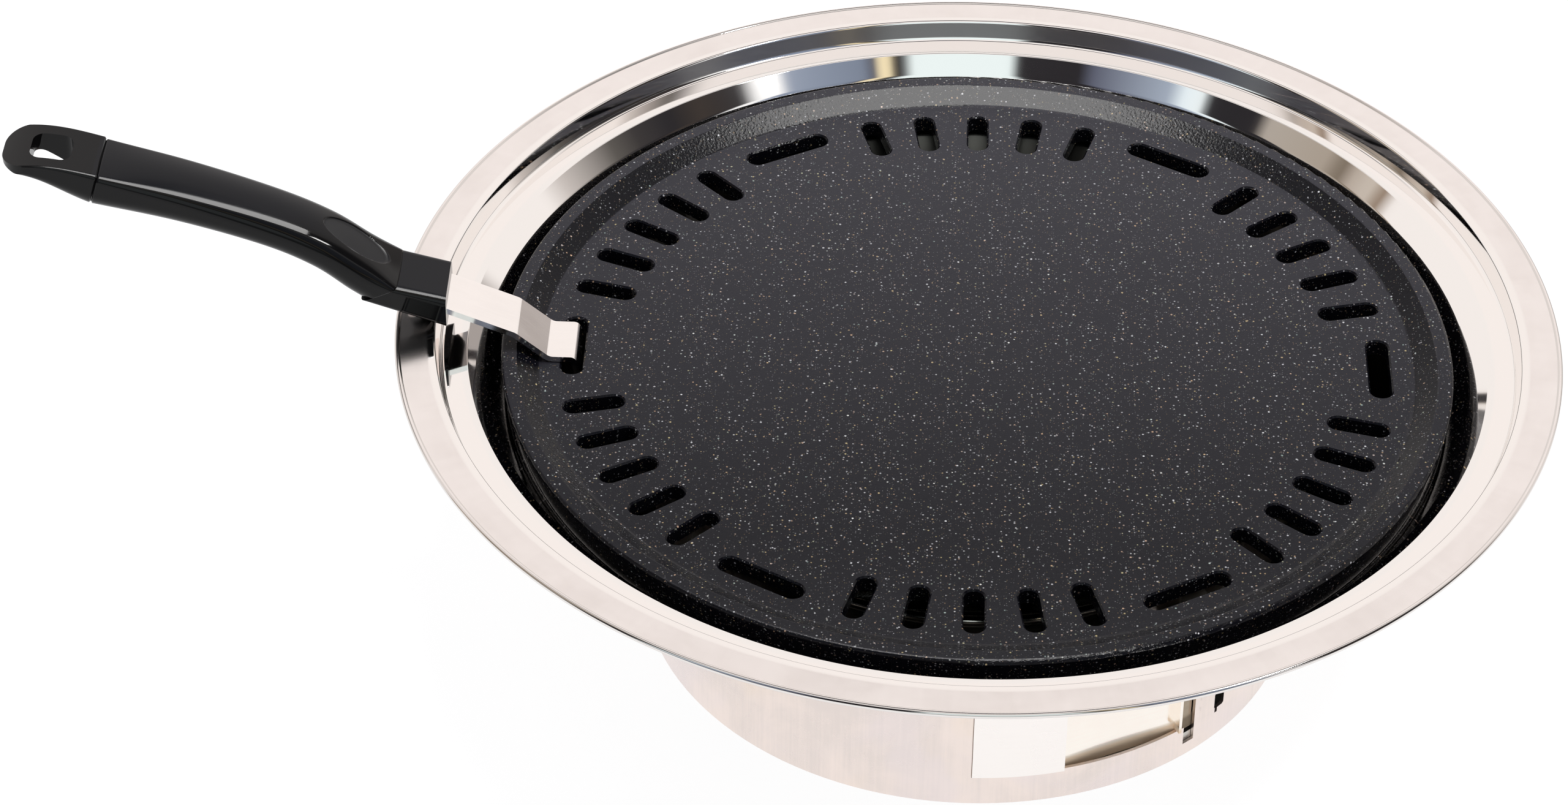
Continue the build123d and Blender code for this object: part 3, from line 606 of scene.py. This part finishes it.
finishes = {
    "ring_steel": ring_steel(),
    "drum_steel": sheet_steel("drum_steel", (0.91, 0.80, 0.745), (0.80, 0.715, 0.675), 0.27,
                              (900.0, 900.0, 30.0), tint=drum_marks),
    "cover_steel": sheet_steel("cover_steel", (1.0, 0.955, 0.925), (0.98, 0.93, 0.90), 0.26,
                               tint=cover_edge_shadow),
    "door_steel": sheet_steel("door_steel", (1.0, 0.945, 0.875), (0.98, 0.91, 0.84), 0.13,
                              tint=door_shade_and_reflection, worn=door_wear),
    "inner_steel": sheet_steel("inner_steel", (0.66, 0.64, 0.60), (0.47, 0.45, 0.42), 0.30,
                               (160.0, 160.0, 160.0)),
    "rivet_steel": sheet_steel("rivet_steel", (0.78, 0.77, 0.76), (0.62, 0.61, 0.60), 0.25,
                               (300.0, 300.0, 300.0)),
    "basin_steel": sheet_steel("basin_steel", (0.78, 0.75, 0.71), (0.62, 0.59, 0.55), 0.13,
                               (20.0, 20.0, 1200.0)),
    "grate_chrome": sheet_steel("grate_chrome", (0.74, 0.74, 0.75), (0.66, 0.66, 0.67), 0.12,
                                (90.0, 90.0, 90.0)),
    "plate_coating": plate_coating(),
    "strap_steel": sheet_steel("strap_steel", (0.985, 0.945, 0.925), (0.95, 0.91, 0.89), 0.12,
                               (60.0, 900.0, 60.0)),
    "handle_black": black_plastic(),
    "screw_steel": sheet_steel("screw_steel", (0.66, 0.66, 0.66), (0.52, 0.52, 0.52), 0.28,
                               (500.0, 500.0, 500.0)),
}
slot_of = {entry["node"]: entry["material_slot"] for entry in frame["record"]["subparts"]}
for name, piece in nodes.items():
    piece.data.materials.clear()
    piece.data.materials.append(finishes[slot_of[name]])
top_ring.data.materials.append(finishes["ring_steel"])
grip_moulded.data.materials.append(finishes["handle_black"])


# ---------------------------------------------------------------- floor
FLOOR_HALF = 4.0
FLOOR_GLOW = 0.90


def shown(g):
    """One for the rays that see the background itself: camera, glossy and transmission rays."""
    path = g.add("ShaderNodeLightPath").outputs
    seen = g.larger(path["Is Camera Ray"], path["Is Glossy Ray"])
    return g.larger(seen, path["Is Transmission Ray"])


def pick_shown(g, unseen, seen, target):
    """Sends one shader to the rays that see the background, and the other to the rest."""
    pick = g.add("ShaderNodeMixShader")
    g.put(pick.inputs[0], shown(g))
    g.link(unseen.outputs[0], pick.inputs[1])
    g.link(seen.outputs[0], pick.inputs[2])
    g.link(pick.outputs[0], g.add(target).inputs["Surface"])


floor_mesh = bpy.data.meshes.new("floor")
floor_corners = [(-FLOOR_HALF, -FLOOR_HALF, 0.0), (FLOOR_HALF, -FLOOR_HALF, 0.0),
                 (FLOOR_HALF, FLOOR_HALF, 0.0), (-FLOOR_HALF, FLOOR_HALF, 0.0)]
floor_mesh.from_pydata(floor_corners, [], [(0, 1, 2, 3)])
floor = add_piece("floor", floor_mesh)
floor_paint, g = material("floor_paint")
diffuse = g.add("ShaderNodeBsdfDiffuse")
g.put(diffuse.inputs["Color"], (0.86, 0.86, 0.87))
glow = g.add("ShaderNodeEmission")
g.put(glow.inputs["Color"], (1.0, 1.0, 1.0))
g.put(glow.inputs["Strength"], FLOOR_GLOW)
weak = g.add("ShaderNodeBsdfDiffuse")
g.put(weak.inputs["Color"], (0.22, 0.22, 0.225))
both = g.add("ShaderNodeAddShader")
g.link(glow.outputs[0], both.inputs[0])
g.link(weak.outputs[0], both.inputs[1])
pick_shown(g, diffuse, both, "ShaderNodeOutputMaterial")
floor_mesh.materials.append(floor_paint)


# ---------------------------------------------------------------- world
# The room that the polished steel mirrors: bands of plain tones round the horizon, brighter
# above. Diffuse light comes from an even pale background instead.
WARM = (0.97, 0.92, 0.89)
TAN = (0.42, 0.36, 0.30)
DARK = (0.026, 0.024, 0.027)
WHITE = (1.0, 1.0, 1.0)
WINDOW = (0.90, 1.0, 1.0)
LAMPLIGHT = (1.0, 0.85, 0.55)
CORNER = (0.05, 0.045, 0.045)
RIGHT_HALF = [
    (0, CORNER), (6, (0.12, 0.11, 0.10)), (18, (0.62, 0.57, 0.54)), (23, WARM), (163, WARM),
    (166, (0.30, 0.22, 0.16)), (169, (0.62, 0.55, 0.48)), (173, (0.50, 0.43, 0.37)),
    (176, (0.20, 0.16, 0.12)), (180, TAN), (194, (0.46, 0.41, 0.36)), (197, DARK), (209, DARK),
    (211, (0.90, 0.98, 1.0)), (215, (0.85, 0.95, 1.0)), (219, (0.38, 0.44, 0.54)),
    (239, (0.12, 0.13, 0.18)), (243, DARK), (260, DARK), (263, WINDOW), (290, WINDOW),
    (293, DARK)]
LAST_PART = [
    (295, DARK), (297, LAMPLIGHT), (299, LAMPLIGHT), (301, (0.10, 0.11, 0.15)),
    (304, (0.22, 0.26, 0.34)), (323, (0.30, 0.35, 0.45)), (326, WHITE), (331, WHITE),
    (335, DARK), (345, (0.05, 0.04, 0.035)), (352, DARK), (360, CORNER)]


def bands(g, turn, stops):
    return g.ramp(turn, [(at(degrees), colour) for degrees, colour in stops])


def studio_room(g):
    """Colour of the mirrored room by azimuth and elevation."""
    x, y, z = g.split(g.add("ShaderNodeTexCoord").outputs["Generated"])
    azimuth = g.math("DIVIDE", g.math("ARCTAN2", y, x), 2 * math.pi)
    turn = g.math("FRACT", g.plus(azimuth, 1.0))
    rise = g.times(g.math("ARCSINE", z), 180 / math.pi)
    room = g.mix(g.step(turn, at(293.9), at(294.1), smooth=False),
                 bands(g, turn, RIGHT_HALF), bands(g, turn, LAST_PART))
    back_wall = g.times(g.step(turn, at(34), at(44)), g.step(turn, at(72), at(62)))
    low = g.mix(back_wall, room, (0.40, 0.36, 0.34))
    room = g.mix(g.step(rise, 10.0, 14.0), low, room)
    shaded = g.mix(0.25, (0.03, 0.028, 0.026), room)
    front = g.mix(g.step(rise, 8.0, 16.0), shaded, room)
    walls = g.mix(g.step(y, -0.25, 0.05), front, room)
    studio = g.mix(g.step(rise, 56.5, 58.5), walls, (0.95, 0.91, 0.89))
    beam = g.times(g.step(turn, at(44), at(54)), g.step(turn, at(130), at(118)))
    beam = g.times(beam, g.times(g.step(rise, 49.0, 54.0), g.step(rise, 86.0, 82.0)))
    return g.mix(beam, studio, (0.03, 0.03, 0.035))


world = bpy.data.worlds.new("studio")
bpy.context.scene.world = world
world.use_nodes = True
g = Graph(world.node_tree)
glossy_only = g.add("ShaderNodeLightPath").outputs["Is Glossy Ray"]
plain = g.add("ShaderNodeBackground")
g.put(plain.inputs["Color"], (0.93, 0.94, 0.96))
g.put(plain.inputs["Strength"], 0.48)
white = g.add("ShaderNodeBackground")
g.put(white.inputs["Color"], g.mix(glossy_only, WHITE, studio_room(g)))
g.put(white.inputs["Strength"], 1.0)
pick_shown(g, plain, white, "ShaderNodeOutputWorld")


# ---------------------------------------------------------------- lamps and camera
LAMP_COLOUR = (1.0, 0.99, 0.98)


def lamp(name, place, target, size, power):
    data = bpy.data.lights.new(name, "AREA")
    data.shape = "RECTANGLE"
    data.size, data.size_y = size
    data.energy = power
    data.color = LAMP_COLOUR
    item = bpy.data.objects.new(name, data)
    item.location = place
    item.rotation_euler = (Vector(target) - Vector(place)).to_track_quat("-Z", "Y").to_euler()
    bpy.context.scene.collection.objects.link(item)
    return item


# The top lamp lights everything without a mirror image; "gleam" gives the coated pieces
# their gloss, and leaves the polished ring alone.
top_lamp = lamp("top", (0.06, 0.03, 1.0), (0.06, 0.03, 0.1), (0.60, 0.24), 7.6)
top_lamp.visible_glossy = False
gleam = lamp("gleam", (0.06, 0.03, 0.96), (0.06, 0.03, 0.1), (0.66, 0.50), 19.0)
gleam.visible_diffuse = False
coated = bpy.data.collections.new("coated_pieces")
for piece in (grip_moulded, nodes["handle_neck"], nodes["end_cap"], nodes["grill_plate"]):
    coated.objects.link(piece)
gleam.light_linking.receiver_collection = coated
lamp("side", (0.62, -0.235, 1.106), (-0.22, -0.01, 0.14), (0.13, 0.13), 2.9)

camera_data = bpy.data.cameras.new("camera")
camera_data.sensor_fit = "HORIZONTAL"
camera_data.sensor_width = 36.0
camera_data.lens = 109.06
camera = bpy.data.objects.new("camera", camera_data)
right = Vector((0.99929, 0.03646, 0.00923))
up = Vector((-0.02988, 0.62074, 0.78345))
forward = Vector((-0.02284, 0.78317, -0.62139))
turned = Matrix((right, up, -forward)).transposed().to_4x4()
camera.matrix_world = Matrix.Translation((-0.02468, -1.12965, 0.96562)) @ turned
bpy.context.scene.collection.objects.link(camera)
bpy.context.scene.camera = camera
bpy.context.scene.view_settings.view_transform = "Standard"
